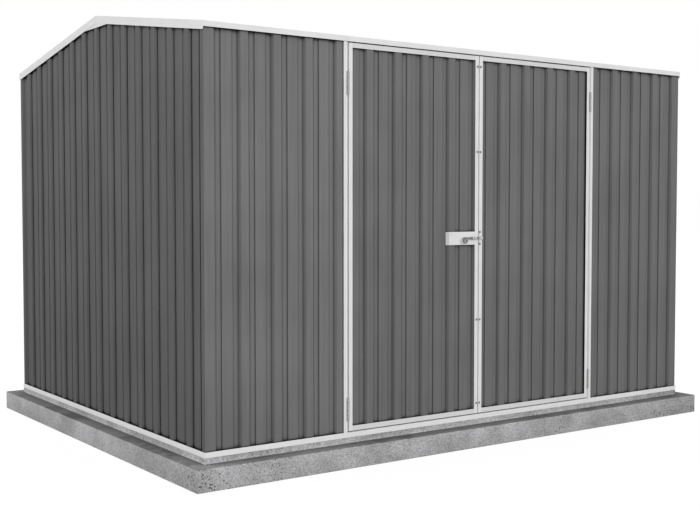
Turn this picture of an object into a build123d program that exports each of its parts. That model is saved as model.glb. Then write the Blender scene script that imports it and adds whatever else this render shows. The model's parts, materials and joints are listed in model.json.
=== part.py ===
"""A sheet-metal tool shed with double doors, standing on its rebated concrete slab.

Millimetres, +Z up, +X to the right along the front, the doors face -Y.
The origin is under the middle of the slab. Heights above the floor start at floor_z.
"""
from build123d import *
import math
import os

# Slab
slab_height = 96.0
plinth_height = 26.0
slab_ledge = 76.0

# Shed outline, over the base channels
base_width = 3000.0
base_depth = 2222.0
eave_height = 1795.5
ridge_rise = 172.7

# Base channel and the gap between the channel's face and the ribs
channel_height = 23.3
channel_width = 19.0
channel_metal = 1.5
sheet_inset = 4.0

# Ribbed sheet
sheet_metal = 0.8
rib_pitch = 162.0
rib_flat = 36.0
rib_slope = 9.5
rib_depth = 12.0
swage_top = 51.0
swage_slope = 2.5
swage_rise = 3.5
corner_flat = 27.5
back_sheet_count = 4

# Ribs of the gable sheets, from the shed's front
side_rib_pitch = 161.25
side_rib_start = -7.25

# How far to the right each front sheet's ribs lie from the pattern centred on the shed
front_left_rib_shift = -8.0
front_right_rib_shift = 3.0
left_leaf_rib_shift = -6.0
right_leaf_rib_shift = -1.0

# Folded trims and framing
trim_metal = 1.2
eave_trim_face = 23.3
eave_trim_proud = 3.0
roof_flange = 30.0
barge_face = 36.5
barge_corner_radius = 8.0
ridge_plate_width = 272.0
ridge_cap_width = 160.0
rail_clearance = 0.7
rail_height = 25.0
rail_width = 20.0
beam_width = 30.0
beam_height = 40.0
post_leg_front = 22.0
post_leg_side = 12.0

# Doorway and jambs
doorway_half = 783.0
jamb_face = 17.0
stop_width = 24.0

# Door leaves
hinge_gap = 10.0
centre_gap = 5.5
leaf_proud = 0.0
leaf_depth = 16.0
leaf_bottom_gap = 5.2
leaf_top_gap = 5.4
stop_gap = 5.2
leaf_top = 1767.0
hinge_stile_width = 20.0
meeting_stile_width = 21.0
top_rail_width = 21.0
bottom_rail_width = 22.7
brace_width = 40.0

# Hinges
hinge_low = 128.0
hinge_high = 1588.0
hinge_length = 104.0
hinge_metal = 1.0
knuckle_radius = 3.6
knuckle_count = 5
knuckle_gap = 0.4
pin_radius = 1.5
pin_clearance = 0.05
axis_proud = 1.5

# Pad bolt
latch_height = 887.0
latch_plate_height = 63.0
latch_plate_length = 164.0
latch_flange_run = 10.0
bolt_radius = 5.0
bolt_length = 95.0
bolt_tip_inset = 3.0
bolt_plate_gap = 0.8
bolt_clearance = 0.3
guide_width = 8.0
guide_wall = 2.5
guide_spacing = 14.0
guide_inset = 2.0
lock_tab_radius = 14.0
lock_tab_hole = 5.5
lock_tab_hole_drop = 13.0
lock_tab_metal = 4.5
lock_tab_proud = 3.0
lock_tab_drop = 11.0
keeper_inset = 2.0
keeper_radius = 21.0

# Fits between pieces that stay put, and how far a cutter runs past what it cuts
seat_gap = 0.3
seam_gap = 0.4
cutter_reach = 1.0

# Worked out from the sizes above
floor_z = slab_height + plinth_height
half_width = base_width / 2
half_depth = base_depth / 2
front = -half_depth
roof_run = half_depth + eave_trim_proud
roof_pitch = math.atan2(ridge_rise, roof_run)
rib_top_drop = trim_metal + seat_gap
roof_under_drop = rib_top_drop + rib_depth + sheet_metal
sheet_back = sheet_inset + rib_depth + sheet_metal
rail_front = sheet_back + rail_clearance
rail_drop = roof_under_drop + seat_gap
jamb_outer = doorway_half + jamb_face
leaf_outer = doorway_half - hinge_gap
leaf_inner = centre_gap / 2
leaf_front = front - leaf_proud
leaf_back = leaf_front + leaf_depth
leaf_bottom = channel_height + leaf_bottom_gap
hinge_x = doorway_half - hinge_gap / 2
hinge_y = leaf_front - axis_proud
plate_face = leaf_front - trim_metal
bolt_y = plate_face - bolt_plate_gap - bolt_radius
bolt_tip = -leaf_inner - bolt_tip_inset
swage_base = swage_top + 2 * swage_slope


def prism(points, axis, low, high):
    """A closed outline pulled straight along one axis, from low to high."""
    if axis == "x":
        corners = [(low, a, b) for a, b in points]
        pull = (1, 0, 0)
    elif axis == "y":
        corners = [(a, low, b) for a, b in points]
        pull = (0, 1, 0)
    else:
        corners = [(a, b, low) for a, b in points]
        pull = (0, 0, 1)
    outline = make_face(Polyline(*corners, close=True))
    return extrude(outline, amount=high - low, dir=pull)


def block(x0, x1, y0, y1, z0, z1):
    """A box between two corners."""
    return prism([(x0, y0), (x1, y0), (x1, y1), (x0, y1)], "z", z0, z1)


def rod(centre, axis, radius, length):
    """A round bar that starts at centre and runs along axis."""
    return Solid.make_cylinder(radius, length, Plane(origin=centre, z_dir=axis))


def other_side(piece):
    """The same piece on the other side of the shed's middle plane."""
    return mirror(piece, about=Plane.YZ)


def to_back(piece):
    """The same piece at the back of the shed."""
    return mirror(piece, about=Plane.XZ)


def save(node, *solids):
    """One STEP file for the node, with its solids kept apart."""
    shape = solids[0] if len(solids) == 1 else Compound(children=list(solids))
    export_step(shape, f"parts/{node}.step")


def roof_top(y):
    """Height above the floor of the trims' top faces at depth y, on either slope."""
    return eave_height + (roof_run - abs(y)) * math.tan(roof_pitch)


def roof_line(y, drop):
    """Height above the floor of a surface that lies drop below the trims' top faces."""
    return roof_top(y) - drop / math.cos(roof_pitch)


# Ribbed sheet
def pan_points(left, right):
    """The recessed stretch between two raised flats, with its low swage where it fits."""
    middle = (left + right) / 2
    points = [(left + rib_slope, rib_depth)]
    pan_floor = right - left - 2 * rib_slope
    if pan_floor > swage_base + 2 * rib_slope:
        points.append((middle - swage_base / 2, rib_depth))
        points.append((middle - swage_top / 2, rib_depth - swage_rise))
        points.append((middle + swage_top / 2, rib_depth - swage_rise))
        points.append((middle + swage_base / 2, rib_depth))
    points.append((right - rib_slope, rib_depth))
    return points


def rib_centres(start, end, shift, pitch=rib_pitch):
    """Rib centres of a sheet's pattern that lie between start and end."""
    first = math.ceil((start - shift) / pitch)
    last = math.floor((end - shift) / pitch)
    return [shift + pitch * number for number in range(first, last + 1)]


def raised_flats(start, end, centres):
    """The flats at the outer plane, with the sheet's two edges kept on a flat."""
    flats = [(centre - rib_flat / 2, centre + rib_flat / 2) for centre in centres]
    if flats[0][0] - start < corner_flat + 2 * rib_slope:
        flats[0] = (start, flats[0][1])
    else:
        flats.insert(0, (start, start + corner_flat))
    if end - flats[-1][1] < corner_flat + 2 * rib_slope:
        flats[-1] = (flats[-1][0], end)
    else:
        flats.append((end - corner_flat, end))
    return flats


def sheet_line(flats):
    """The sheet's outer line as (along, depth) points."""
    points = [(flats[0][0], 0.0)]
    for (_, left), (right, _) in zip(flats, flats[1:]):
        points.append((left, 0.0))
        points += pan_points(left, right)
        points.append((right, 0.0))
    points.append((flats[-1][1], 0.0))
    return points


def clip_line(points, start, end):
    """The part of a line of points that lies between start and end."""
    kept = [(u, v) for u, v in points if start <= u <= end]
    for (u0, v0), (u1, v1) in zip(points, points[1:]):
        for edge in (start, end):
            if u0 < edge < u1:
                kept.append((edge, v0 + (v1 - v0) * (edge - u0) / (u1 - u0)))
    return sorted(kept)


def sheet_solid(points, place, bottom, top):
    """An upright ribbed sheet, where place turns (along, depth) into (x, y)."""
    outer = [place(u, v) for u, v in points]
    inner = [place(u, v + sheet_metal) for u, v in reversed(points)]
    return prism(outer + inner, "z", floor_z + bottom, floor_z + top)


def split_at_ribs(start, end, centres, count):
    """The ends of count sheets side by side, each seam on the rib nearest to its share."""
    marks = [start]
    for number in range(1, count):
        share = start + (end - start) * number / count
        marks.append(min(centres, key=lambda centre: abs(centre - share)))
    marks.append(end)
    spans = []
    for number in range(count):
        low = marks[number] + (seam_gap / 2 if number else 0)
        high = marks[number + 1] - (seam_gap / 2 if number < count - 1 else 0)
        spans.append((low, high))
    return spans


# Slab
def make_slab():
    """The lower slab with its ledge, and the raised part that the shed stands on."""
    reach_x = half_width + slab_ledge
    reach_y = half_depth + slab_ledge
    lower = block(-reach_x, reach_x, -reach_y, reach_y, 0, slab_height)
    raised = block(-half_width, half_width, -half_depth, half_depth, slab_height, floor_z)
    return lower + raised


# Base channels
def base_channel(length):
    """A mitred channel along X, its outer face on Y=0 and open upwards."""
    section = [
        (0, 0),
        (channel_width, 0),
        (channel_width, channel_height),
        (channel_width - channel_metal, channel_height),
        (channel_width - channel_metal, channel_metal),
        (channel_metal, channel_metal),
        (channel_metal, channel_height),
        (0, channel_height),
    ]
    half = length / 2
    inner_half = half - channel_width
    plan = [(-half, 0), (half, 0), (inner_half, channel_width), (-inner_half, channel_width)]
    return prism(section, "x", -half, half) & prism(plan, "z", 0, channel_height)


def make_base_channels():
    front_channel = Pos(0, front, floor_z) * base_channel(base_width)
    right_channel = Pos(half_width, 0, floor_z) * Rot(0, 0, 90) * base_channel(base_depth)
    return {
        "base_channel_front": [front_channel],
        "base_channel_back": [to_back(front_channel)],
        "base_channel_left": [other_side(right_channel)],
        "base_channel_right": [right_channel],
    }


# Walls
def make_front_and_back_walls():
    """Two sheets beside the doorway and a row of sheets across the back."""
    wall_top = roof_line(front + sheet_inset, rail_drop)
    corner = half_width - sheet_inset
    side = doorway_half + trim_metal + seat_gap

    def on_front(u, v):
        return (u, front + sheet_inset + v)

    def beside_doorway(shift):
        line = sheet_line(raised_flats(side, corner, rib_centres(side, corner, shift)))
        return sheet_solid(line, on_front, channel_metal, wall_top)

    pieces = {
        "front_wall_left": [other_side(beside_doorway(-front_left_rib_shift))],
        "front_wall_right": [beside_doorway(front_right_rib_shift)],
    }
    centres = rib_centres(-corner, corner, 0)
    line = sheet_line(raised_flats(-corner, corner, centres))
    spans = split_at_ribs(-corner, corner, centres, back_sheet_count)
    for number, (low, high) in enumerate(spans):
        sheet = sheet_solid(clip_line(line, low, high), on_front, channel_metal, wall_top)
        pieces[f"back_wall_{number + 1}"] = [to_back(sheet)]
    return pieces


def make_side_walls():
    """Sheets that run from the base channel up to the roof slopes."""
    start = sheet_inset + sheet_metal + seat_gap
    end = base_depth - start
    centres = rib_centres(start, end, side_rib_start, side_rib_pitch)
    line = sheet_line(raised_flats(start, end, centres))
    gable = [
        (-half_depth, floor_z),
        (half_depth, floor_z),
        (half_depth, floor_z + roof_line(half_depth, rail_drop)),
        (0, floor_z + roof_line(0, rail_drop)),
        (-half_depth, floor_z + roof_line(-half_depth, rail_drop)),
    ]
    gable_solid = prism(gable, "x", 0, half_width)

    def on_right(u, v):
        return (half_width - sheet_inset - v, front + u)

    pieces = {}
    names = ["front", "middle", "back"]
    spans = split_at_ribs(start, end, centres, len(names))
    for name, (low, high) in zip(names, spans):
        piece_line = clip_line(line, low, high)
        upright = sheet_solid(piece_line, on_right, channel_metal, roof_line(0, 0))
        sheet = upright & gable_solid
        pieces[f"left_wall_{name}"] = [other_side(sheet)]
        pieces[f"right_wall_{name}"] = [sheet]
    return pieces


def make_corner_posts():
    """Angles inside the four corners, behind the sheets' edges."""
    inset = sheet_inset + sheet_metal + seat_gap
    x1 = half_width - inset
    y0 = front + inset
    top = floor_z + roof_line(front + inset, rail_drop)
    low = floor_z + channel_metal
    front_leg = block(x1 - post_leg_front, x1, y0, y0 + channel_metal, low, top)
    side_leg = block(x1 - channel_metal, x1, y0, y0 + post_leg_side, low, top)
    post = front_leg + side_leg
    back_post = to_back(post)
    return {"corner_posts": [post, other_side(post), back_post, other_side(back_post)]}


# Framing under the roof
def make_eave_rails():
    """Angles along the tops of the front and back walls, inside the sheets."""
    y0 = front + rail_front
    top = floor_z + roof_line(y0, rail_drop)
    reach = half_width - rail_front
    upright = block(-reach, reach, y0, y0 + trim_metal, floor_z + leaf_top + leaf_top_gap, top)
    flange = block(-reach, reach, y0, y0 + rail_width, top - trim_metal, top)
    rail = upright + flange
    return {"top_rail_front": [rail], "top_rail_back": [to_back(rail)]}


def slope_band(y0, y1, drop, depth):
    """The outline of a band under the roof's top faces, between two depths of the shed."""
    return [
        (y0, floor_z + roof_line(y0, drop)),
        (y1, floor_z + roof_line(y1, drop)),
        (y1, floor_z + roof_line(y1, drop + depth)),
        (y0, floor_z + roof_line(y0, drop + depth)),
    ]


def make_gable_rails():
    """Angles along the sloping tops of the two gable walls."""
    y0 = front + rail_front + rail_width + seat_gap
    y1 = -seam_gap / 2
    x1 = half_width - rail_front
    upright = prism(slope_band(y0, y1, rail_drop, rail_height), "x", x1 - trim_metal, x1)
    flange = prism(slope_band(y0, y1, rail_drop, trim_metal), "x", x1 - rail_width, x1)
    rail = upright + flange
    back_rail = to_back(rail)
    return {"gable_rails": [rail, other_side(rail), back_rail, other_side(back_rail)]}


def make_ridge_beam():
    """A channel under the ridge, from gable rail to gable rail."""
    reach = half_width - rail_front - rail_width - seat_gap
    half = beam_width / 2
    top = floor_z + roof_line(half, rail_drop)
    outer = block(-reach, reach, -half, half, top - beam_height, top)
    inner = block(-reach, reach, -half + channel_metal, half - channel_metal,
                  top - beam_height, top - channel_metal)
    return {"ridge_beam": [outer - inner]}


# Roof
def make_roof_sheets():
    """One ribbed sheet on each slope, its ribs running from the eave to the ridge."""
    reach = half_width - trim_metal - seat_gap
    y0 = front - eave_trim_proud + trim_metal + seat_gap
    line = sheet_line(raised_flats(-reach, reach, rib_centres(-reach, reach, 0)))
    outer = list(line)
    inner = [(u, v + sheet_metal) for u, v in reversed(line)]
    slope = (0, math.cos(roof_pitch), math.sin(roof_pitch))
    start = (0, y0, floor_z + roof_line(y0, rib_top_drop))
    eave_plane = Plane(origin=start, x_dir=(1, 0, 0), z_dir=slope)
    outline = eave_plane * make_face(Polyline(*[(u, v) for u, v in outer + inner], close=True))
    length = (-2 * seat_gap - roof_under_drop * math.sin(roof_pitch) - y0) / math.cos(roof_pitch)
    sheet = extrude(outline, amount=length, dir=slope)
    return {"roof_sheet_front": [sheet], "roof_sheet_back": [to_back(sheet)]}


def make_ridge_cap():
    """The folded strip that covers the joint of the two roof sheets."""
    half = ridge_cap_width / 2
    thick = trim_metal
    outline = [
        (-half, floor_z + roof_line(half, 0)),
        (0, floor_z + roof_line(0, 0)),
        (half, floor_z + roof_line(half, 0)),
        (half, floor_z + roof_line(half, thick)),
        (0, floor_z + roof_line(0, thick)),
        (-half, floor_z + roof_line(half, thick)),
    ]
    reach = half_width - roof_flange - seat_gap
    return {"ridge_cap": [prism(outline, "x", -reach, reach)]}


def make_eave_trims():
    """Folded trims over the roof sheets' lower edges, front and back."""
    face_y = front - eave_trim_proud
    back_y = face_y + trim_metal
    flange_y = face_y + roof_flange
    outline = [
        (face_y, floor_z + roof_top(face_y) - eave_trim_face),
        (back_y, floor_z + roof_top(face_y) - eave_trim_face),
        (back_y, floor_z + roof_line(back_y, trim_metal)),
        (flange_y, floor_z + roof_line(flange_y, trim_metal)),
        (flange_y, floor_z + roof_top(flange_y)),
        (face_y, floor_z + roof_top(face_y)),
    ]
    reach = half_width - trim_metal - seat_gap / 2
    trim = prism(outline, "x", -reach, reach)
    return {"eave_trim_front": [trim], "eave_trim_back": [to_back(trim)]}


def make_barges():
    """Folded trims over the gable edges of the roof, one length to each slope."""
    y0 = front - eave_trim_proud
    y1 = -seam_gap / 2
    face = prism(slope_band(y0, y1, 0, barge_face), "x", half_width - trim_metal, half_width)
    lower_corner = face.edges().filter_by(Axis.X).sort_by(Axis.Z)[0]
    face = fillet(lower_corner, barge_corner_radius)
    flange_y = y0 + roof_flange + seat_gap
    flange_outline = slope_band(flange_y, y1, 0, trim_metal)
    flange = prism(flange_outline, "x", half_width - roof_flange, half_width)
    barge = face + flange
    back_barge = to_back(barge)
    return {
        "barge_left": [other_side(barge), other_side(back_barge)],
        "barge_right": [barge, back_barge],
    }


def make_ridge_plates():
    """Plates behind the barges' meeting ends that square off the peak."""
    half = ridge_plate_width / 2
    base = floor_z + roof_line(half, barge_face)
    drop = rail_drop
    outline = [
        (-half, base),
        (half, base),
        (half, floor_z + roof_line(half, drop)),
        (0, floor_z + roof_line(0, drop)),
        (-half, floor_z + roof_line(half, drop)),
    ]
    x1 = half_width - trim_metal
    plate = prism(outline, "x", x1 - trim_metal, x1)
    return {"ridge_plates": [plate, other_side(plate)]}


# Doorway
def make_jambs():
    """Folded jambs, each with a stop behind the door leaf and a lip behind the hinge."""
    face_y = front
    low = floor_z + channel_height
    top = floor_z + roof_line(front, rail_drop)
    rail_under = floor_z + leaf_top + leaf_top_gap - seat_gap
    inner_x = doorway_half + trim_metal
    stop_y = leaf_back + stop_gap
    face = block(doorway_half, jamb_outer, face_y, face_y + trim_metal, low, top)
    outer_return = block(jamb_outer - trim_metal, jamb_outer, face_y,
                         front + sheet_inset - seat_gap, low, top)
    inner_return = block(doorway_half, inner_x, face_y, front + rail_front - seat_gap, low, top)
    low_return = block(doorway_half, inner_x, face_y, stop_y + trim_metal, low, rail_under)
    stop = block(inner_x - stop_width, inner_x, stop_y, stop_y + trim_metal, low, rail_under)
    lip_y = hinge_y + knuckle_radius + seat_gap
    lip_x = leaf_outer + stop_gap
    lip = block(lip_x, inner_x, lip_y, lip_y + trim_metal, low, rail_under)
    reach = hinge_length / 2 + seat_gap
    for height in (hinge_low, hinge_high):
        middle = floor_z + height
        lip -= block(lip_x - cutter_reach, doorway_half, lip_y - cutter_reach,
                     lip_y + trim_metal + cutter_reach, middle - reach, middle + reach)
    jamb = face + outer_return + inner_return + low_return + stop + lip
    return {"left_jamb": [other_side(jamb)], "right_jamb": [jamb]}


def make_door_sill():
    """A folded cover that stands in the front channel and closes it across the doorway."""
    reach = doorway_half - seat_gap
    y0 = front + channel_metal + seat_gap
    y1 = front + channel_width - channel_metal - seat_gap
    low = floor_z + channel_metal
    top = floor_z + channel_height
    outer = block(-reach, reach, y0, y1, low, top)
    inner = block(-reach, reach, y0 + trim_metal, y1 - trim_metal, low, top - trim_metal)
    return {"door_sill": [outer - inner]}


# Door leaf
def leaf_stiles():
    """The upright channels of the right leaf, open towards its sheet."""
    low = floor_z + leaf_bottom
    top = floor_z + leaf_top
    y0 = leaf_front
    y1 = leaf_back
    in0 = y0 + trim_metal
    in1 = y1 - trim_metal
    hinge_inner = leaf_outer - hinge_stile_width
    hinge_stile = block(hinge_inner, leaf_outer, y0, y1, low, top)
    hinge_stile -= block(hinge_inner, leaf_outer - trim_metal, in0, in1, low, top)
    meeting_edge = leaf_inner + meeting_stile_width
    meeting_stile = block(leaf_inner, meeting_edge, y0, y1, low, top)
    meeting_stile -= block(leaf_inner + trim_metal, meeting_edge, in0, in1, low, top)
    return [hinge_stile, meeting_stile]


def leaf_rails():
    """The top and bottom channels of the right leaf, between its stiles."""
    x0 = leaf_inner + meeting_stile_width
    x1 = leaf_outer - hinge_stile_width
    y0 = leaf_front
    y1 = leaf_back
    in0 = y0 + trim_metal
    in1 = y1 - trim_metal
    low = floor_z + leaf_bottom
    low_edge = low + bottom_rail_width
    top = floor_z + leaf_top
    top_edge = top - top_rail_width
    bottom_rail = block(x0, x1, y0, y1, low, low_edge)
    bottom_rail -= block(x0, x1, in0, in1, low + trim_metal, low_edge)
    top_rail = block(x0, x1, y0, y1, top_edge, top)
    top_rail -= block(x0, x1, in0, in1, top_edge, top - trim_metal)
    return [bottom_rail, top_rail]


def leaf_sheet(shift):
    """The ribbed sheet held in a right leaf's frame."""
    start = leaf_inner + trim_metal + seat_gap
    end = leaf_outer - trim_metal - seat_gap
    centres = rib_centres(start - rib_pitch, end + rib_pitch, shift)
    flats = [(centre - rib_flat / 2, centre + rib_flat / 2) for centre in centres]
    line = clip_line(sheet_line(flats), start, end)
    spare = leaf_depth - 2 * trim_metal - rib_depth - sheet_metal
    outer_y = leaf_front + trim_metal + spare / 2

    def in_leaf(u, v):
        return (u, outer_y + v)

    bottom = leaf_bottom + trim_metal
    top = leaf_top - trim_metal - seat_gap
    return sheet_solid(line, in_leaf, bottom, top)


def leaf_brace():
    """The flat strip across the back of the right leaf, level with the pad bolt."""
    x0 = leaf_inner + meeting_stile_width + seat_gap
    x1 = leaf_outer - hinge_stile_width - seat_gap
    z0 = floor_z + latch_height - brace_width / 2
    return block(x0, x1, leaf_back - trim_metal, leaf_back, z0, z0 + brace_width)


def make_doors():
    stiles = leaf_stiles()
    rails = leaf_rails()
    brace = leaf_brace()
    return {
        "right_door_stiles": stiles,
        "right_door_rails": rails,
        "right_door_sheet": [leaf_sheet(right_leaf_rib_shift)],
        "right_door_brace": [brace],
        "left_door_stiles": [other_side(stile) for stile in stiles],
        "left_door_rails": [other_side(rail) for rail in rails],
        "left_door_sheet": [other_side(leaf_sheet(-left_leaf_rib_shift))],
        "left_door_brace": [other_side(brace)],
    }


# Hinges
def knuckle(number, height, wing_edge):
    """One knuckle of a hinge, with the web that joins it to its wing."""
    pitch = hinge_length / knuckle_count
    low = floor_z + height - hinge_length / 2 + number * pitch + knuckle_gap / 2
    length = pitch - knuckle_gap
    barrel = rod((hinge_x, hinge_y, low), (0, 0, 1), knuckle_radius, length)
    half_web = hinge_metal
    x0 = min(hinge_x, wing_edge)
    x1 = max(hinge_x, wing_edge)
    web = block(x0, x1, hinge_y - half_web, hinge_y + half_web, low, low + length)
    return barrel + web


def hinge_wing(wing_edge, inward, height):
    """The flat wing of a hinge, against the jamb's return or the leaf's edge."""
    low = floor_z + height - hinge_length / 2
    x0 = min(wing_edge, wing_edge + inward * hinge_metal)
    x1 = max(wing_edge, wing_edge + inward * hinge_metal)
    return block(x0, x1, hinge_y - hinge_metal, leaf_back - axis_proud, low, low + hinge_length)


def fixed_hinge_half(height):
    """The jamb's half of a right-hand hinge, with the pin."""
    half = hinge_wing(doorway_half, -1, height)
    for number in range(0, knuckle_count, 2):
        half += knuckle(number, height, doorway_half)
    low = floor_z + height - hinge_length / 2
    half += rod((hinge_x, hinge_y, low), (0, 0, 1), pin_radius, hinge_length)
    return half


def moving_hinge_half(height):
    """The leaf's half of a right-hand hinge, bored for the pin."""
    half = hinge_wing(leaf_outer, 1, height)
    low = floor_z + height - hinge_length / 2
    for number in range(1, knuckle_count, 2):
        half += knuckle(number, height, leaf_outer)
    return half - rod((hinge_x, hinge_y, low), (0, 0, 1), pin_radius + pin_clearance, hinge_length)


def make_hinges():
    heights = [hinge_low, hinge_high]
    fixed = [fixed_hinge_half(height) for height in heights]
    moving = [moving_hinge_half(height) for height in heights]
    return {
        "jamb_hinges": fixed + [other_side(half) for half in fixed],
        "right_door_hinges": moving,
        "left_door_hinges": [other_side(half) for half in moving],
    }


# Pad bolt
def saddle(x0, width, base_y):
    """A loop round the bolt, standing on the plate."""
    reach = bolt_radius + bolt_clearance + guide_wall
    z = floor_z + latch_height
    body = block(x0, x0 + width, bolt_y, base_y, z - reach, z + reach)
    above_plate = block(x0, x0 + width, bolt_y - reach, base_y, z - reach, z + reach)
    crown = rod((x0, bolt_y, z), (1, 0, 0), reach, width) & above_plate
    bore_start = (x0 - cutter_reach, bolt_y, z)
    bore = rod(bore_start, (1, 0, 0), bolt_radius + bolt_clearance, width + 2 * cutter_reach)
    return body + crown - bore


def make_latch_plate():
    """The plate on the left leaf, its far end folded back to the sheet."""
    right = -leaf_inner - meeting_stile_width - seat_gap
    left = right - latch_plate_length
    back_y = leaf_front
    spare = leaf_depth - 2 * trim_metal - rib_depth - sheet_metal
    pan_y = leaf_front + trim_metal + spare / 2 + rib_depth - seat_gap
    outline = [
        (right, plate_face),
        (right, back_y),
        (left + trim_metal, back_y),
        (left + trim_metal - latch_flange_run, pan_y),
        (left - latch_flange_run, pan_y),
        (left, plate_face),
    ]
    low = floor_z + latch_height - latch_plate_height / 2
    return prism(outline, "z", low, low + latch_plate_height)


def make_latch():
    guide_left = -leaf_inner - meeting_stile_width - guide_inset - guide_width
    guides = [
        saddle(guide_left, guide_width, plate_face),
        saddle(guide_left - guide_spacing, guide_width, plate_face),
    ]
    z = floor_z + latch_height
    x0 = leaf_inner + keeper_inset
    disc = rod((x0, plate_face, z), (0, 1, 0), keeper_radius, trim_metal)
    half_disc = disc & block(x0, x0 + keeper_radius, plate_face, leaf_front,
                             z - keeper_radius, z + keeper_radius)
    keeper = half_disc + saddle(x0 + keeper_inset, guide_width, plate_face)
    return {
        "latch_plate": [make_latch_plate()],
        "bolt_guides": guides,
        "pad_bolt": [make_bolt()],
        "bolt_keeper": [keeper],
    }


def make_bolt():
    """The sliding bolt with its padlock tab."""
    z = floor_z + latch_height
    bar = rod((bolt_tip - bolt_length, bolt_y, z), (1, 0, 0), bolt_radius, bolt_length)
    tab_x = bolt_tip - bolt_length + lock_tab_radius / 2
    tab_y = bolt_y - bolt_radius - lock_tab_proud
    tab_start = (tab_x, tab_y, z - lock_tab_drop)
    tab = rod(tab_start, (0, 1, 0), lock_tab_radius, lock_tab_metal)
    hole_start = (tab_x, tab_y - cutter_reach, z - lock_tab_hole_drop)
    tab -= rod(hole_start, (0, 1, 0), lock_tab_hole, lock_tab_metal + 2 * cutter_reach)
    return bar + tab


os.makedirs("parts", exist_ok=True)
sections = [
    {"concrete_slab": [make_slab()]},
    make_base_channels(),
    make_front_and_back_walls(),
    make_side_walls(),
    make_corner_posts(),
    make_eave_rails(),
    make_gable_rails(),
    make_ridge_beam(),
    make_roof_sheets(),
    make_ridge_cap(),
    make_eave_trims(),
    make_barges(),
    make_ridge_plates(),
    make_jambs(),
    make_door_sill(),
    make_doors(),
    make_hinges(),
    make_latch(),
]
for section in sections:
    for node, solids in section.items():
        save(node, *solids)
print("floor", floor_z, "hinge axis", hinge_x, hinge_y, "bolt y", bolt_y)
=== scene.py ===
# %% [markdown]
# This script dresses a sheet-metal tool shed on its stepped concrete slab.
# The shape of every sheet, trim, hinge and bolt comes ready from the fixed frame, in metres, with the doors
# facing -Y and +Z up. What is left for Blender is the finish of each surface, the eased edges of the slab, the
# small fasteners that are not in the frame, the floor, the light and the camera.
# The frame's box is measured before anything is added.

# %% Load the fixed frame
import json
import math
import bpy
from mathutils import Euler, Matrix, Vector


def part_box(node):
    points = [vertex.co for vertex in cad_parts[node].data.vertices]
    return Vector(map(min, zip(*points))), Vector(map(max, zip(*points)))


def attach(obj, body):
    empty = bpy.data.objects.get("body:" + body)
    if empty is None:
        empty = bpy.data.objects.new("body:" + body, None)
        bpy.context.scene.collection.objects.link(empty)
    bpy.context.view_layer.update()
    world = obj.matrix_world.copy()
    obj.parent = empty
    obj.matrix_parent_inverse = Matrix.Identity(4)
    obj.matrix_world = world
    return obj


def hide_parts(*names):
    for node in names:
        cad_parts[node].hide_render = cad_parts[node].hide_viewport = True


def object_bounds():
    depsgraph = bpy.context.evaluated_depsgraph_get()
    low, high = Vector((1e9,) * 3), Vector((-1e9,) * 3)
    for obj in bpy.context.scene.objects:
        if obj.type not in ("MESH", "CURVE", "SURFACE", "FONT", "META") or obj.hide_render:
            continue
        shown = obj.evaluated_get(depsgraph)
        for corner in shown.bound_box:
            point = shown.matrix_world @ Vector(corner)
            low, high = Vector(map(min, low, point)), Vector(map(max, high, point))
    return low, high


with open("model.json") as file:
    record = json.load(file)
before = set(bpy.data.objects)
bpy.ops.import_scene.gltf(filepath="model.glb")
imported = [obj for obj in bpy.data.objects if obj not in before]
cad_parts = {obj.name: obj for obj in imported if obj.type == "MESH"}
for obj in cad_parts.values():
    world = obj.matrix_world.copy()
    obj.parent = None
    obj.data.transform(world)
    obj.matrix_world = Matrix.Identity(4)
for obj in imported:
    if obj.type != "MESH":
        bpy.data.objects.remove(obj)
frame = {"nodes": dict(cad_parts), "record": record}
frame_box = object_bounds()
size = frame_box[1] - frame_box[0]
print(len(frame["nodes"]), "pieces of metal and concrete in a box of", [round(side, 3) for side in size], "m")

# %% [markdown]
# Colours are easiest to choose as the hex codes that a picture shows, but shader sockets expect linear light.
# One function does that conversion for the whole file.
# Another adds a node: it takes the node's own settings by name, and for each input either a value or the
# output of another node. Everything that a material needs can be built from these two.

# %% Two helpers for materials
def linear(code):
    """An sRGB hex colour as the linear colour that a shader socket takes."""
    parts = [int(code[start:start + 2], 16) / 255 for start in (1, 3, 5)]
    return [c / 12.92 if c <= 0.04045 else ((c + 0.055) / 1.055) ** 2.4 for c in parts] + [1.0]


def add_node(tree, kind, inputs=None, **settings):
    """Adds one node, sets it up, and links or fills its inputs."""
    made = tree.nodes.new(kind)
    for name, value in settings.items():
        setattr(made, name, value)
    for key, value in (inputs or {}).items():
        if isinstance(value, bpy.types.NodeSocket):
            tree.links.new(value, made.inputs[key])
        else:
            made.inputs[key].default_value = value
    return made


print("mid grey", [round(c, 3) for c in linear("#707070")])

# %% [markdown]
# A texture's Scale says how many times the pattern repeats in one metre, which is hard to judge by eye.
# So each pattern is given its real size in millimetres instead, and a one-line function turns it round.
# A new material always starts the same way: its shader, its output and its Object coordinates, which stay
# with the piece when a door swings.
# A Mix node has a set of sockets for each kind of data under the same names, so its colour sockets are reached by
# number, and those numbers are named once here.

# %% Start a finish
MIX_FACTOR, MIX_A, MIX_B, MIX_RESULT = 0, 6, 7, 2


def per_metre(millimetres):
    """The texture scale that gives a pattern of this size."""
    return 1000 / millimetres


def start_finish(name, **sockets):
    """A new material: its node tree, its shader and the piece's own coordinates."""
    material = bpy.data.materials.new(name)
    material.use_nodes = True
    tree = material.node_tree
    tree.nodes.clear()
    shader = add_node(tree, "ShaderNodeBsdfPrincipled", {key.replace("_", " "): v for key, v in sockets.items()})
    add_node(tree, "ShaderNodeOutputMaterial", {"Surface": shader.outputs["BSDF"]})
    place = add_node(tree, "ShaderNodeTexCoord").outputs["Object"]
    return material, tree, shader, place


print("a 4 mm grain has scale", per_metre(4))

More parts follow.
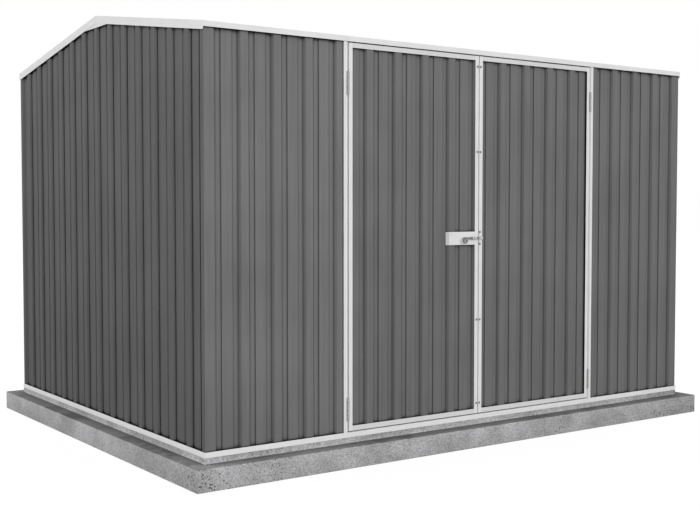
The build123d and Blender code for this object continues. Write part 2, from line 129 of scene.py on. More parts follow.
# %% [markdown]
# The slab is cast concrete, struck from a plain form: pale grey, and blotched where the cement is richer, with a
# sandy grain over all of it.
# It could be one picture of concrete, but noise needs no picture and has no seams. Each feature is a texture at
# its own size, laid over the last with a Mix node, and each gets a cell of its own below.
# The blotches come first, between two greys, and the sand multiplies them darker and lighter. Real sand is under
# 4 mm, which would not show from where the camera stands, so its grain is drawn 9 mm coarse.

# %% Concrete: cement and sand
slab_low, slab_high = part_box("concrete_slab")
CONCRETE, tree, shader, place = start_finish("cast_concrete", Roughness=0.9, IOR=1.5)
blotch = add_node(tree, "ShaderNodeTexNoise",
                  {"Vector": place, "Scale": per_metre(170), "Detail": 5.0, "Roughness": 0.62})
grain = add_node(tree, "ShaderNodeTexNoise",
                 {"Vector": place, "Scale": per_metre(9), "Detail": 5.0, "Roughness": 0.8})
tone = add_node(tree, "ShaderNodeMapRange",
                {"Value": blotch.outputs["Fac"], "From Min": 0.3, "From Max": 0.7})
colour = add_node(tree, "ShaderNodeMix",
                  {MIX_FACTOR: tone.outputs["Result"], MIX_A: linear("#8b8b8b"), MIX_B: linear("#b2b2b4")},
                  data_type="RGBA")
sand = add_node(tree, "ShaderNodeMapRange",
                {"Value": grain.outputs["Fac"], "From Min": 0.3, "From Max": 0.7, "To Min": 0.42, "To Max": 1.56})
colour = add_node(tree, "ShaderNodeMix",
                  {MIX_FACTOR: 1.0, MIX_A: colour.outputs[MIX_RESULT], MIX_B: sand.outputs["Result"]},
                  data_type="RGBA", blend_type="MULTIPLY")
print("cement and sand:", len(tree.nodes), "nodes")

# %% [markdown]
# Air bubbles stay against the form and leave small round holes. A Voronoi texture has a cell every 15 mm, and
# its Distance grows from each cell's middle, so a limit on it draws a disc. A wide noise moves that limit, which
# gathers the holes in clusters.
# Air is hardest to shake out of a form's corners, so the holes crowd together near two of them. The distance
# from a point in the piece's own coordinates says how near a corner is.

# %% Concrete: air holes
POROUS_CORNERS = [
    ((slab_low.x, slab_low.y, slab_low.z), 0.5),
    ((slab_high.x, slab_low.y, slab_low.z), 0.7),
]
cells = add_node(tree, "ShaderNodeTexVoronoi", {"Vector": place, "Scale": per_metre(15)})
cluster = add_node(tree, "ShaderNodeTexNoise", {"Vector": place, "Scale": per_metre(230), "Detail": 2.0})
reach = add_node(tree, "ShaderNodeMapRange",
                 {"Value": cluster.outputs["Fac"], "From Min": 0.42, "From Max": 0.7,
                  "To Min": 0.07, "To Max": 0.28}).outputs["Result"]
corner_away = []
for corner, far in POROUS_CORNERS:
    away = add_node(tree, "ShaderNodeVectorMath", {0: place, 1: corner}, operation="DISTANCE")
    corner_away.append(away.outputs["Value"])
    near = add_node(tree, "ShaderNodeMapRange",
                    {"Value": away.outputs["Value"], "From Max": far, "To Min": 0.2, "To Max": 0.0})
    reach = add_node(tree, "ShaderNodeMath", {0: reach, 1: near.outputs["Result"]}, operation="ADD").outputs[0]
hole = add_node(tree, "ShaderNodeMath", {0: reach, 1: cells.outputs["Distance"]}, operation="SUBTRACT")
hole = add_node(tree, "ShaderNodeMapRange",
                {"Value": hole.outputs["Value"], "From Min": 0.0, "From Max": 0.06, "To Max": 0.9})
colour = add_node(tree, "ShaderNodeMix",
                  {MIX_FACTOR: hole.outputs["Result"], MIX_A: colour.outputs[MIX_RESULT],
                   MIX_B: linear("#4e4e4e")}, data_type="RGBA")
print("air holes, most of all near", len(corner_away), "corners")

# %% [markdown]
# A slab shrinks as it dries, which opens a few hairline cracks. The borders between large Voronoi cells make a
# good net of them, once a small noise has bent the coordinates, so that no border is straight. The wide noise of
# the holes lets the net show only in places.

# %% Concrete: hairline cracks
bend = add_node(tree, "ShaderNodeTexNoise", {"Vector": place, "Scale": per_metre(60), "Detail": 3.0})
bent = add_node(tree, "ShaderNodeVectorMath", {0: bend.outputs["Color"], "Scale": 0.06}, operation="SCALE")
bent = add_node(tree, "ShaderNodeVectorMath", {0: place, 1: bent.outputs["Vector"]}, operation="ADD")
net = add_node(tree, "ShaderNodeTexVoronoi",
               {"Vector": bent.outputs["Vector"], "Scale": per_metre(210)}, feature="DISTANCE_TO_EDGE")
crack = add_node(tree, "ShaderNodeMapRange",
                 {"Value": net.outputs["Distance"], "From Min": 0.003, "From Max": 0.012,
                  "To Min": 1.0, "To Max": 0.0})
shown = add_node(tree, "ShaderNodeMapRange",
                 {"Value": cluster.outputs["Fac"], "From Min": 0.5, "From Max": 0.62, "To Max": 0.32})
crack = add_node(tree, "ShaderNodeMath",
                 {0: crack.outputs["Result"], 1: shown.outputs["Result"]}, operation="MULTIPLY")
colour = add_node(tree, "ShaderNodeMix",
                  {MIX_FACTOR: crack.outputs["Value"], MIX_A: colour.outputs[MIX_RESULT],
                   MIX_B: linear("#4c4c4c")}, data_type="RGBA")
print("with cracks:", len(tree.nodes), "nodes")

# %% [markdown]
# The faces that look up are painted darker, most of all against the step: this is painted shade, since little
# light falls on them from above, with real stains from the blotches laid over it. The surface normal picks those
# faces out, and the Ambient Occlusion node tells how close the step stands, which paints shade into that corner.
# The painted shade is lighter towards the near corner, and the floor indoors, above the step, gets less of it
# still.

# %% Concrete: painted shade and stains on the faces that look up
STEP = 0.026
NEARBY_RAYS = 8
facing = add_node(tree, "ShaderNodeSeparateXYZ",
                  {"Vector": add_node(tree, "ShaderNodeNewGeometry").outputs["True Normal"]})
upward = add_node(tree, "ShaderNodeMapRange", {"Value": facing.outputs["Z"], "From Min": 0.5, "From Max": 0.9})
step = add_node(tree, "ShaderNodeAmbientOcclusion", {"Distance": 0.09}, samples=NEARBY_RAYS)
# Painted shade on the faces that look up: deepest against the step, lighter towards the near corner; the blotches
# add real stains.
top_shade_depth = add_node(tree, "ShaderNodeMapRange",
                  {"Value": corner_away[0], "From Min": 0.1, "From Max": 1.2, "To Min": 0.38, "To Max": 0.68})
top_shade_and_stain = add_node(tree, "ShaderNodeMapRange",
                {"Value": step.outputs["AO"], "From Min": 0.55, "From Max": 1.0,
                 "To Min": 0.95, "To Max": top_shade_depth.outputs["Result"]})
stain = add_node(tree, "ShaderNodeMapRange",
                 {"Value": blotch.outputs["Fac"], "From Min": 0.5, "From Max": 0.36, "To Max": 0.22})
top_shade_and_stain = add_node(tree, "ShaderNodeMath",
                {0: top_shade_and_stain.outputs["Result"], 1: stain.outputs["Result"]}, operation="ADD", use_clamp=True)
level = add_node(tree, "ShaderNodeSeparateXYZ", {"Vector": place})
outdoors = add_node(tree, "ShaderNodeMapRange",
                    {"Value": level.outputs["Z"], "From Min": slab_high.z - STEP,
                     "From Max": slab_high.z - STEP / 2, "To Min": 1.0, "To Max": 0.3})
for limit in (outdoors, upward):
    top_shade_and_stain = add_node(tree, "ShaderNodeMath",
                    {0: limit.outputs["Result"], 1: top_shade_and_stain.outputs["Value"]}, operation="MULTIPLY")
colour = add_node(tree, "ShaderNodeMix",
                  {MIX_FACTOR: top_shade_and_stain.outputs["Value"], MIX_A: colour.outputs[MIX_RESULT],
                   MIX_B: linear("#474746")}, data_type="RGBA")
print("with dirt:", len(tree.nodes), "nodes")

# %% [markdown]
# The colour is made darker from the raised step's height up, and painted shade darkens the far corner, measured
# from the second of the porous corners. Both only multiply the colour.
# The grain and the holes are also felt as relief: a Bump node shades them as if the grain stood up and the holes
# went in, which costs no faces.

# %% Concrete: darker step, painted shade at the far corner, and relief
# Darker from the step's height up.
darker_step = add_node(tree, "ShaderNodeMapRange",
                 {"Value": level.outputs["Z"], "From Min": slab_high.z - STEP,
                  "From Max": slab_high.z - STEP / 2, "To Min": 1.0, "To Max": 0.9})
# Painted shade at the far corner.
far_corner_shade = add_node(tree, "ShaderNodeMapRange",
                {"Value": corner_away[1], "From Min": 0.15, "From Max": 0.6, "To Min": 0.8, "To Max": 1.0})
for shade in (darker_step, far_corner_shade):
    colour = add_node(tree, "ShaderNodeMix",
                      {MIX_FACTOR: 1.0, MIX_A: colour.outputs[MIX_RESULT], MIX_B: shade.outputs["Result"]},
                      data_type="RGBA", blend_type="MULTIPLY")
relief = add_node(tree, "ShaderNodeMath",
                  {0: grain.outputs["Fac"], 1: hole.outputs["Result"]}, operation="SUBTRACT")
bump = add_node(tree, "ShaderNodeBump",
                {"Height": relief.outputs["Value"], "Strength": 0.6, "Distance": 0.002})
tree.links.new(colour.outputs[MIX_RESULT], shader.inputs["Base Color"])
tree.links.new(bump.outputs["Normal"], shader.inputs["Normal"])
print(CONCRETE.name, "has", len(tree.nodes), "nodes")

# %% [markdown]
# Shade is painted into the foot of each rib of a wall sheet. The Ambient Occlusion node finds the fold: it is 1 on
# open metal and falls where other metal stands close by, and a short Distance sees only the fold of a rib. The
# painted shade is kept only where the metal faces forward, which the piece's own normal tells.
# On the gables the painted shade lies thick along one foot of each rib only, and the slopes above it are painted
# lighter, as painted light. A Ping-Pong runs from 0 at that foot to half a pitch and back, rib by rib along Y, so
# it says how far off the foot is.

# %% Painted shade along the ribs
GABLE_RIB_PITCH = 0.16125
GABLE_RIB_CENTRE = 0.0105
RIB_HALF_WIDTH = 0.0275
FOLD_SHADE_ENDS = (0.02, 0.03)


def rib_fold_shade(tree, spot, closed, fold_shade, slope, rib_foot):
    """Brightness of the faces that look forward: painted shade in a closed fold, rising to slope on open metal,
    where a slope above 1 is painted light.
    """
    fold = add_node(tree, "ShaderNodeAmbientOcclusion", {"Distance": 0.009}, samples=NEARBY_RAYS)
    fold_shaded = add_node(tree, "ShaderNodeMapRange",
                      {"Value": fold.outputs["AO"], "From Min": closed, "From Max": 0.97,
                       "To Min": fold_shade, "To Max": slope})
    if rib_foot is not None:
        away = add_node(tree, "ShaderNodeMath", {0: spot.outputs["Y"], 1: rib_foot}, operation="SUBTRACT")
        away = add_node(tree, "ShaderNodeMath",
                        {0: away.outputs["Value"], 1: GABLE_RIB_PITCH / 2}, operation="PINGPONG")
        fold_shaded = add_node(tree, "ShaderNodeMapRange",
                          {"Value": away.outputs["Value"], "From Min": FOLD_SHADE_ENDS[0], "From Max": FOLD_SHADE_ENDS[1],
                           "To Min": fold_shaded.outputs["Result"], "To Max": slope})
    facing = add_node(tree, "ShaderNodeSeparateXYZ",
                      {"Vector": add_node(tree, "ShaderNodeTexCoord").outputs["Normal"]})
    return add_node(tree, "ShaderNodeMapRange",
                    {"Value": facing.outputs["Y"], "From Min": -0.5, "From Max": -0.2,
                     "To Min": fold_shaded.outputs["Result"], "To Max": 1.0})


print("the gables have a rib every", GABLE_RIB_PITCH, "m")

# %% [markdown]
# Wall, door and roof sheets are coil-coated steel: a thin polyester paint baked on before the sheet is rolled
# into ribs. To the eye that is an even mid grey with a low satin sheen.
# Thin sheet is never quite flat, so a wide, shallow bump lets the sheen wander. Rain leaves long upright
# streaks, drawn by a noise that is stretched along Z.
# Shade is painted nearly black into the slots where a sheet goes in behind a trim. A second Ambient Occlusion
# node, with a longer Distance than the painted shade of the folds, sees the trim that stands before the sheet's
# end.
# One function is called with several tones: the gables are a shaded copy, painted darker than the front, and the
# left front wall a lit copy, painted lighter. Each wall is also painted darker towards its foot and lighter
# towards its head, as painted shade and light, and each call says by how much.

# %% Coil-coated sheet
WALL_HEAD = 1.9


def coil_coated_sheet(name, low, high, foot, head, sheen, closed=0.8, fold_shade=0.45, slope=1.0, rib_foot=None):
    """Painted sheet between two tones: foot and head are the painted shade and light at the wall's foot and head.
    """
    material, tree, shader, place = start_finish(name, IOR=1.5, Specular_IOR_Level=sheen)
    upright = add_node(tree, "ShaderNodeMapping", {"Vector": place, "Scale": (1.0, 1.0, 0.03)})
    streak = add_node(tree, "ShaderNodeTexNoise",
                      {"Vector": upright.outputs["Vector"], "Scale": per_metre(16), "Detail": 3.0})
    patch = add_node(tree, "ShaderNodeTexNoise", {"Vector": place, "Scale": per_metre(350), "Detail": 2.0})
    both = add_node(tree, "ShaderNodeMath",
                    {0: streak.outputs["Fac"], 1: patch.outputs["Fac"]}, operation="ADD")
    tone = add_node(tree, "ShaderNodeMapRange",
                    {"Value": both.outputs["Value"], "From Min": 0.75, "From Max": 1.25})
    colour = add_node(tree, "ShaderNodeMix",
                      {MIX_FACTOR: tone.outputs["Result"], MIX_A: linear(low), MIX_B: linear(high)},
                      data_type="RGBA")
    spot = add_node(tree, "ShaderNodeSeparateXYZ", {"Vector": place})
    # Painted shade in the folds of the ribs, and painted light on the gables' forward slopes.
    rib_shade = rib_fold_shade(tree, spot, closed, fold_shade, slope, rib_foot)
    # Painted shade, nearly black, in the slot behind a trim.
    slot = add_node(tree, "ShaderNodeAmbientOcclusion", {"Distance": 0.03}, samples=NEARBY_RAYS)
    slot_shade = add_node(tree, "ShaderNodeMapRange",
                    {"Value": slot.outputs["AO"], "From Min": 0.54, "From Max": 0.84,
                     "To Min": 0.02, "To Max": 1.0})
    # Painted shade and light: darker towards the wall's foot, lighter towards its head.
    height_shade = add_node(tree, "ShaderNodeMapRange",
                      {"Value": spot.outputs["Z"], "From Min": slab_high.z, "From Max": WALL_HEAD,
                       "To Min": foot, "To Max": head})
    for shade in (rib_shade, slot_shade, height_shade):
        colour = add_node(tree, "ShaderNodeMix",
                          {MIX_FACTOR: 1.0, MIX_A: colour.outputs[MIX_RESULT], MIX_B: shade.outputs["Result"]},
                          data_type="RGBA", blend_type="MULTIPLY")
    gloss = add_node(tree, "ShaderNodeMapRange",
                     {"Value": patch.outputs["Fac"], "From Min": 0.3, "From Max": 0.7,
                      "To Min": 0.58, "To Max": 0.68})
    bump = add_node(tree, "ShaderNodeBump",
                    {"Height": patch.outputs["Fac"], "Strength": 0.3, "Distance": 0.004})
    tree.links.new(colour.outputs[MIX_RESULT], shader.inputs["Base Color"])
    tree.links.new(gloss.outputs["Result"], shader.inputs["Roughness"])
    tree.links.new(bump.outputs["Normal"], shader.inputs["Normal"])
    return material


# Painted light and shade: a lit copy for the left front wall, a shaded copy for the gables.
SHEET = coil_coated_sheet("coil_coated_sheet_grey", "#616161", "#6a6a6a", foot=0.97, head=1.1, sheen=0.15)
LIT_SHEET = coil_coated_sheet("coil_coated_sheet_painted_light", "#656565", "#6f6f6f", foot=0.95, head=1.09, sheen=0.15)
SHADED_GABLE_SHEET = coil_coated_sheet("coil_coated_sheet_gable_painted_shade", "#5c5c5c", "#656565", foot=0.8, head=1.0, sheen=0.05,
                                closed=0.88, fold_shade=0.12, slope=1.15,
                                rib_foot=GABLE_RIB_CENTRE - RIB_HALF_WIDTH)
print(SHEET.name, LIT_SHEET.name, SHADED_GABLE_SHEET.name)

# %% [markdown]
# The trims, jambs, door frames and base channels are folded from the same kind of coil-coated strip in
# off-white. It is a little glossier than the sheets, and pale enough to show faint grime. The doors' rails take
# a copy painted darker: painted shade for the eave's shade over the top rails.

# %% Off-white folded trim
def coil_coated_trim(name, low, high):
    """Painted off-white strip between two tones."""
    material, tree, shader, place = start_finish(name, IOR=1.5)
    grime = add_node(tree, "ShaderNodeTexNoise",
                     {"Vector": place, "Scale": per_metre(90), "Detail": 5.0, "Roughness": 0.6})
    tone = add_node(tree, "ShaderNodeMapRange", {"Value": grime.outputs["Fac"], "From Min": 0.3, "From Max": 0.7})
    colour = add_node(tree, "ShaderNodeMix",
                      {MIX_FACTOR: tone.outputs["Result"], MIX_A: linear(low), MIX_B: linear(high)},
                      data_type="RGBA")
    gloss = add_node(tree, "ShaderNodeMapRange",
                     {"Value": grime.outputs["Fac"], "From Min": 0.3, "From Max": 0.7,
                      "To Min": 0.46, "To Max": 0.34})
    tree.links.new(colour.outputs[MIX_RESULT], shader.inputs["Base Color"])
    tree.links.new(gloss.outputs["Result"], shader.inputs["Roughness"])
    return material


TRIM = coil_coated_trim("coil_coated_trim_white", "#d2d2d2", "#d8d8d8")
# Painted shade: the doors' rails take a darker copy of the trim.
SHADED_RAIL_TRIM = coil_coated_trim("coil_coated_rail_white_painted_shade", "#c6c6c6", "#cccccc")
print(TRIM.name, SHADED_RAIL_TRIM.name)

# %% [markdown]
# The framing behind the sheets is galvanised: hot zinc that froze in flat crystals, the spangle. Each cell of a
# Voronoi texture is one crystal, with its own brightness and gloss.

# %% Galvanised framing
def galvanised_steel():
    """Bare galvanised strip with its spangle."""
    material, tree, shader, place = start_finish("galvanised_steel", Metallic=1.0)
    spangle = add_node(tree, "ShaderNodeTexVoronoi", {"Vector": place, "Scale": per_metre(14)})
    crystal = add_node(tree, "ShaderNodeSeparateColor", {"Color": spangle.outputs["Color"]})
    colour = add_node(tree, "ShaderNodeMix",
                      {MIX_FACTOR: crystal.outputs["Red"], MIX_A: linear("#9fa1a3"), MIX_B: linear("#b9bbbc")},
                      data_type="RGBA")
    gloss = add_node(tree, "ShaderNodeMapRange",
                     {"Value": crystal.outputs["Green"], "To Min": 0.38, "To Max": 0.55})
    tree.links.new(colour.outputs[MIX_RESULT], shader.inputs["Base Color"])
    tree.links.new(gloss.outputs["Result"], shader.inputs["Roughness"])
    return material


GALVANISED = galvanised_steel()
print(GALVANISED.name, "has", len(GALVANISED.node_tree.nodes), "nodes")

# %% [markdown]
# The hardware is electroplated with bright zinc, which is even and a little yellow, and dulls where it is
# handled: the guides and the keeper of the bolt are still bright, the hinges are duller, and the bolt itself and
# the doors' screws are darkest. One function makes all three, between two tones each.

# %% Zinc-plated hardware
def zinc_plate(name, low, high):
    """Bright zinc plate between two tones."""
    material, tree, shader, place = start_finish(name, Metallic=1.0)
    worn = add_node(tree, "ShaderNodeTexNoise",
                    {"Vector": place, "Scale": per_metre(12), "Detail": 4.0, "Roughness": 0.65})
    tone = add_node(tree, "ShaderNodeMapRange", {"Value": worn.outputs["Fac"], "From Min": 0.3, "From Max": 0.7})
    colour = add_node(tree, "ShaderNodeMix",
                      {MIX_FACTOR: tone.outputs["Result"], MIX_A: linear(low), MIX_B: linear(high)},
                      data_type="RGBA")
    gloss = add_node(tree, "ShaderNodeMapRange",
                     {"Value": worn.outputs["Fac"], "From Min": 0.3, "From Max": 0.7,
                      "To Min": 0.45, "To Max": 0.28})
    tree.links.new(colour.outputs[MIX_RESULT], shader.inputs["Base Color"])
    tree.links.new(gloss.outputs["Result"], shader.inputs["Roughness"])
    return material


ZINC = zinc_plate("zinc_plated_steel", "#cfcfcd", "#ebebe9")
HINGE_ZINC = zinc_plate("zinc_plated_hinge", "#a0a09e", "#b6b6b4")
WORN_ZINC = zinc_plate("zinc_plated_worn", "#737371", "#90908d")
print(ZINC.name, HINGE_ZINC.name, WORN_ZINC.name)

# %% [markdown]
# Each ready-made piece gets its finish through its material slot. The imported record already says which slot
# a node belongs to, so a short table from slot to finish is enough. The pieces whose tone differs from the rest
# of their slot are named apart.

# %% Give every ready-made piece its finish
SLOT_FINISH = {"concrete": CONCRETE, "light_steel": TRIM, "grey_steel": SHEET, "galvanised": GALVANISED}
# The gables get the copy with painted shade, the left front wall the copy with painted light.
NODE_FINISH = {
    "left_wall_front": SHADED_GABLE_SHEET,
    "left_wall_middle": SHADED_GABLE_SHEET,
    "left_wall_back": SHADED_GABLE_SHEET,
    "right_wall_front": SHADED_GABLE_SHEET,
    "right_wall_middle": SHADED_GABLE_SHEET,
    "right_wall_back": SHADED_GABLE_SHEET,
    "front_wall_left": LIT_SHEET,
    # Painted shade: the rails take the darker copy of the trim.
    "left_door_rails": SHADED_RAIL_TRIM,
    "right_door_rails": SHADED_RAIL_TRIM,
    "pad_bolt": WORN_ZINC,
    "bolt_guides": ZINC,
    "bolt_keeper": ZINC,
    "jamb_hinges": HINGE_ZINC,
    "left_door_hinges": HINGE_ZINC,
    "right_door_hinges": HINGE_ZINC,
}
node_slot = {row["node"]: row["material_slot"] for row in frame["record"]["subparts"]}
for node, piece in frame["nodes"].items():
    piece.data.materials.clear()
    piece.data.materials.append(NODE_FINISH.get(node) or SLOT_FINISH[node_slot[node]])
print(len(node_slot), "pieces have a finish")

# %% [markdown]
# A real slab has no knife edges, so the ready-made one gives way to a copy of the same size with its edges
# eased. It starts from a cube: the top face is inset by the width of the ledge and pulled up to form the step,
# and a bevel rounds every edge by a few millimetres.

# %% Concrete slab with eased edges
LEDGE = 0.076
EASE = 0.004
UPWARD = 0.9
middle = (slab_low + slab_high) / 2
bpy.ops.object.select_all(action="DESELECT")
bpy.ops.mesh.primitive_cube_add(size=1, location=(middle.x, middle.y, (slab_high.z - STEP) / 2),
                                scale=(slab_high.x - slab_low.x, slab_high.y - slab_low.y, slab_high.z - STEP))
slab = bpy.context.active_object
slab.name = "cast_slab"
bpy.ops.object.transform_apply(location=True, rotation=True, scale=True)
bpy.ops.object.mode_set(mode="EDIT")
bpy.ops.mesh.select_mode(type="FACE")
bpy.ops.mesh.select_all(action="DESELECT")
bpy.ops.object.mode_set(mode="OBJECT")
for face in slab.data.polygons:
    face.select = face.normal.z > UPWARD
bpy.ops.object.mode_set(mode="EDIT")
bpy.ops.mesh.inset(thickness=LEDGE)
bpy.ops.mesh.extrude_region_move(TRANSFORM_OT_translate={"value": (0, 0, STEP)})
bpy.ops.object.mode_set(mode="OBJECT")
ease = slab.modifiers.new("ease", "BEVEL")
ease.width = EASE
ease.segments = 3
bpy.ops.object.modifier_apply(modifier="ease")
bpy.ops.object.shade_smooth_by_angle(angle=math.radians(35))
slab.data.materials.append(CONCRETE)
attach(slab, "shed")
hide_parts("concrete_slab")
print("slab top at", round(max(v.co.z for v in slab.data.vertices), 4), "with", len(slab.data.polygons), "faces")

# %% [markdown]
# The shed is put together with small fasteners that the frame leaves out. Each kind is modelled once on the
# origin, as a prism with its rim bevelled, and a collar under it where it has one. The turn says which way the
# head faces.
# The second function copies a head to every spot that it is used at, and joins the copies into one piece.

# %% Two helpers for fasteners
def make_head(name, turn, sides, radius, height, rim, collar=0.0):
    """One fastener's head, standing on the origin and facing along +Z as turned."""
    out = Euler(turn).to_matrix() @ Vector((0, 0, 1))
    bpy.ops.object.select_all(action="DESELECT")
    bpy.ops.mesh.primitive_cylinder_add(vertices=sides, radius=radius, depth=height,
                                        location=out * height / 2, rotation=turn)
    head = bpy.context.active_object
    head.name = name
    bpy.ops.object.transform_apply(location=True, rotation=True, scale=True)
    if collar:
        bpy.ops.object.mode_set(mode="EDIT")
        bpy.ops.mesh.primitive_cylinder_add(vertices=20, radius=collar, depth=height / 4,
                                            location=out * height / 8, rotation=turn)
        bpy.ops.object.mode_set(mode="OBJECT")
    soften = head.modifiers.new("soften", "BEVEL")
    soften.width = rim
    soften.segments = 2
    bpy.ops.object.modifier_apply(modifier="soften")
    bpy.ops.object.shade_smooth_by_angle(angle=math.radians(35))
    return head


def spread(head, spots, body, finish):
    """Joins a copy of the head at each spot into one piece, and finishes it."""
    name = head.name
    bpy.ops.object.select_all(action="DESELECT")
    for spot in spots:
        twin = head.copy()
        twin.data = head.data.copy()
        twin.data.transform(Matrix.Translation(spot))
        bpy.context.scene.collection.objects.link(twin)
        twin.select_set(True)
    bpy.context.view_layer.objects.active = twin
    bpy.ops.object.join()
    piece = bpy.context.active_object
    bpy.data.objects.remove(head)
    piece.name = name
    piece.data.name = name
    piece.data.materials.append(finish)
    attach(piece, body)
    print(name, "x", len(spots), "with", len(piece.data.polygons), "faces")
    return piece


TO_FRONT = (math.radians(90), 0, 0)
ahead = Euler(TO_FRONT).to_matrix() @ Vector((0, 0, 1))
print("a head turned to the front looks along", [round(part) for part in ahead])

# %% [markdown]
# Screws with a hexagonal head and a flange hold the meeting stiles, in pairs beside the line where the leaves
# meet. Two more hold the keeper. All of them have dulled to the darkest of the zinc tones.

# %% Screws of the doors
face_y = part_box("right_door_stiles")[0].y
STILE_SCREW_X = 0.0097
STILE_SCREW_HEIGHTS = [0.079, 0.489, 1.305, 1.716]
for side, body in ((-1, "left_door"), (1, "right_door")):
    screw = make_head(f"{body}_stile_screws", TO_FRONT, sides=6, radius=0.0042, height=0.0036, rim=0.0005,
                      collar=0.0056)
    spots = [(side * STILE_SCREW_X, face_y, slab_high.z + height) for height in STILE_SCREW_HEIGHTS]
    spread(screw, spots, body, WORN_ZINC)

KEEPER_SCREW_INSET = 0.0035
KEEPER_SCREW_RISE = 0.029
keeper_low, keeper_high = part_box("bolt_keeper")
keeper_z = (keeper_low.z + keeper_high.z) / 2
screw = make_head("keeper_screws", TO_FRONT, sides=6, radius=0.0044, height=0.0036, rim=0.0005, collar=0.006)
spots = [(keeper_low.x + KEEPER_SCREW_INSET, face_y, keeper_z + rise)
         for rise in (-KEEPER_SCREW_RISE, KEEPER_SCREW_RISE)]
spread(screw, spots, "right_door", WORN_ZINC)

# %% [markdown]
# The plate under the bolt is riveted near its four corners. A rivet is the same prism as a screw's head, with
# more sides and with a rim so wide that it becomes a dome. It is painted with the plate.

# %% Rivets of the bolt's plate
RIVET_FROM_LEFT = 0.024
RIVET_FROM_RIGHT = 0.010
RIVET_FROM_EDGE = 0.009
plate_low, plate_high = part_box("latch_plate")
rivet = make_head("latch_plate_rivets", TO_FRONT, sides=16, radius=0.0034, height=0.0018, rim=0.0012)
spots = [(x, plate_low.y, z) for x in (plate_low.x + RIVET_FROM_LEFT, plate_high.x - RIVET_FROM_RIGHT)
         for z in (plate_low.z + RIVET_FROM_EDGE, plate_high.z - RIVET_FROM_EDGE)]
spread(rivet, spots, "left_door", TRIM)

# %% [markdown]
# The hinges' flaps lie along the edges that they join. Of each only a narrow strip shows beside the knuckles, so
# a flap is a thin bar with its edges eased. One half of a hinge turns with the leaf and the other stays on the
# jamb, so each flap rides with its own side.

# %% Flaps of the hinges
HINGE_AXIS_X = 0.778
FLAP_CLEARANCE = 0.0025
FLAP_WIDTH = 0.006
FLAP_METAL = 0.0008
FLAP_LENGTH = 0.103
FLAP_RIM = 0.0003
hinge_low, hinge_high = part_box("jamb_hinges")
hinge_heights = [hinge_low.z + FLAP_LENGTH / 2, hinge_high.z - FLAP_LENGTH / 2]
for side, leaf in ((-1, "left_door"), (1, "right_door")):
    for body, edge, way in (("shed", "jamb", 1), (leaf, "stile", -1)):
        bpy.ops.object.select_all(action="DESELECT")
        bpy.ops.mesh.primitive_cube_add(size=1, location=(0, -FLAP_METAL / 2, 0),
                                        scale=(FLAP_WIDTH, FLAP_METAL, FLAP_LENGTH))
        flap = bpy.context.active_object
        flap.name = f"{leaf}_flaps_on_{edge}"
        bpy.ops.object.transform_apply(location=True, rotation=True, scale=True)
        soften = flap.modifiers.new("soften", "BEVEL")
        soften.width = FLAP_RIM
        soften.segments = 2
        bpy.ops.object.modifier_apply(modifier="soften")
        flap_x = side * (HINGE_AXIS_X + way * (FLAP_CLEARANCE + FLAP_WIDTH / 2))
        spread(flap, [(flap_x, face_y, z) for z in hinge_heights], body, HINGE_ZINC)

# %% [markdown]
# The roof sheets are screwed down through their ribs in three rows on each slope, with a row through the ridge
# cap. The heads stand square on the roof, so their turn follows its slope, worked out from the eave trim. The cap
# lies on the sheets, so the sheets' screws start a little lower.

# %% Screws of the roof
RIB_PITCH = 0.162
RIB_NUMBERS = range(-9, 10)
ROOF_SCREW_ROWS = (0.12, 0.56, 1.03)
RIDGE_SCREW_ROW = 0.055
SHEET_DROP = 0.0015
cap_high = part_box("ridge_cap")[1]
trim_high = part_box("eave_trim_front")[1]
roof_slope = math.atan2(cap_high.z - trim_high.z, abs(trim_high.y))
for side, name in ((-1, "front"), (1, "back")):
    turn = (-side * roof_slope, 0, 0)
    screw = make_head(f"roof_screws_{name}", turn, sides=6, radius=0.0046, height=0.0045, rim=0.0006,
                      collar=0.0075)
    spots = []
    for away in ROOF_SCREW_ROWS:
        z = cap_high.z - away * math.tan(roof_slope) - SHEET_DROP / math.cos(roof_slope)
        spots += [(number * RIB_PITCH, side * away, z) for number in RIB_NUMBERS]
    spread(screw, spots, "shed", ZINC)
    screw = make_head(f"ridge_screws_{name}", turn, sides=6, radius=0.0046, height=0.0045, rim=0.0006,
                      collar=0.0075)
    z = cap_high.z - RIDGE_SCREW_ROW * math.tan(roof_slope)
    spots = [(number * RIB_PITCH, side * RIDGE_SCREW_ROW, z) for number in RIB_NUMBERS]
    spread(screw, spots, "shed", ZINC)

# %% [markdown]
# The floor is a wide plain sheet at the foot of the slab, in matt paint, so nothing mirrors in it. The camera sees
# it as nearly white, because it adds its own light to camera rays, and to the rays that mirror-like metal sends
# out. Its real colour stays grey, so it throws little light back up on the walls, and the shadow of the shed still
# shows on it.

# %% Floor
FLOOR_REACH = 40.0
FLOOR_GLOW = 0.88
FLOOR_DROP = 0.0005
bpy.ops.object.select_all(action="DESELECT")
bpy.ops.mesh.primitive_plane_add(size=2 * FLOOR_REACH, location=(0, 0, frame_box[0].z - FLOOR_DROP))
floor = bpy.context.active_object
floor.name = "studio_floor"
material, tree, shader, _ = start_finish("matt_floor_paint", Roughness=0.95)
shader.inputs["Base Color"].default_value = linear("#606060")
path = add_node(tree, "ShaderNodeLightPath")
seen = add_node(tree, "ShaderNodeMath",
                {0: path.outputs["Is Camera Ray"], 1: path.outputs["Is Glossy Ray"]}, operation="MAXIMUM")
glow = add_node(tree, "ShaderNodeMath", {0: seen.outputs["Value"], 1: FLOOR_GLOW}, operation="MULTIPLY")
tree.links.new(glow.outputs["Value"], shader.inputs["Emission Strength"])
shader.inputs["Emission Color"].default_value = (1, 1, 1, 1)
floor.data.materials.append(material)
print("floor at", round(floor.location.z, 4))

# %% [markdown]
# The world is a plain grey for the light that it gives, and white for what the camera and the mirror-like
# metal see of it.

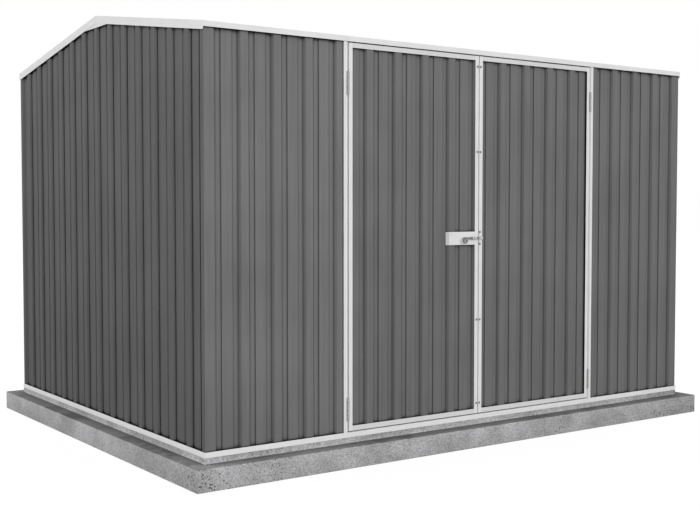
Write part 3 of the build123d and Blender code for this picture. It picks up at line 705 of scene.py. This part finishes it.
# %% World
AMBIENT = 0.9
world = bpy.data.worlds.new("studio_world")
bpy.context.scene.world = world
world.use_nodes = True
tree = world.node_tree
tree.nodes.clear()
path = add_node(tree, "ShaderNodeLightPath")
seen = add_node(tree, "ShaderNodeMath",
                {0: path.outputs["Is Camera Ray"], 1: path.outputs["Is Glossy Ray"]}, operation="MAXIMUM")
seen = add_node(tree, "ShaderNodeMath",
                {0: seen.outputs["Value"], 1: path.outputs["Is Transmission Ray"]}, operation="MAXIMUM")
strength = add_node(tree, "ShaderNodeMapRange", {"Value": seen.outputs["Value"], "To Min": AMBIENT, "To Max": 1.0})
background = add_node(tree, "ShaderNodeBackground",
                      {"Color": (1, 1, 1, 1), "Strength": strength.outputs["Result"]})
add_node(tree, "ShaderNodeOutputWorld", {"Surface": background.outputs["Background"]})
print(world.name, "gives", AMBIENT, "of the light that a white one would")

# %% [markdown]
# Two lamps stand far off on either side and rake along the walls, the way a row of soft boxes would. That leaves
# the faces of the ribs that look at the camera in half shade, which draws each rib.
# A square soft box behind the camera lifts that shade a little, more at the near corner than at the far ends.

# %% Lamps
def add_lamp(name, bearing, height, strength, softness):
    """A sun lamp: bearing turns from -Y towards +X, and all three angles are in degrees."""
    lamp = bpy.data.lights.new(name, "SUN")
    lamp.energy = strength
    lamp.angle = math.radians(softness)
    holder = bpy.data.objects.new(name, lamp)
    bpy.context.scene.collection.objects.link(holder)
    holder.rotation_euler = (math.radians(90 - height), 0, math.radians(bearing))
    holder.visible_glossy = False
    return holder


def add_softbox(name, place, aim, power, size):
    """A square area lamp at a place, aimed at a point."""
    lamp = bpy.data.lights.new(name, "AREA")
    lamp.energy = power
    lamp.size = size
    holder = bpy.data.objects.new(name, lamp)
    bpy.context.scene.collection.objects.link(holder)
    holder.location = place
    holder.rotation_euler = (Vector(aim) - Vector(place)).to_track_quat("-Z", "Y").to_euler()
    holder.visible_glossy = False
    return holder


add_lamp("right_softbox", bearing=45, height=14, strength=1.15, softness=40)
add_lamp("left_softbox", bearing=-135, height=14, strength=1.45, softness=40)
add_softbox("front_softbox", place=(-7.1, -12.1, 3.4), aim=(-0.6, -1.1, 0.9), power=560, size=4.6)

# %% [markdown]
# The camera stands out from the front left corner, at chest height above the ground, and looks very slightly
# down through a slightly long lens. Its place was worked out from the straight edges of the shed.

# %% Camera
camera_data = bpy.data.cameras.new("camera")
camera_data.sensor_width = 36.0
camera_data.lens = 56.99
camera_data.clip_end = 200.0
camera = bpy.data.objects.new("camera", camera_data)
camera.location = (-3.6282, -5.1583, 1.1578)
camera.rotation_euler = (math.radians(90 - 2.484), 0, math.radians(-35.259))
bpy.context.scene.collection.objects.link(camera)
bpy.context.scene.camera = camera
bpy.context.scene.view_settings.view_transform = "Standard"
print("camera at", tuple(round(v, 3) for v in camera.location))
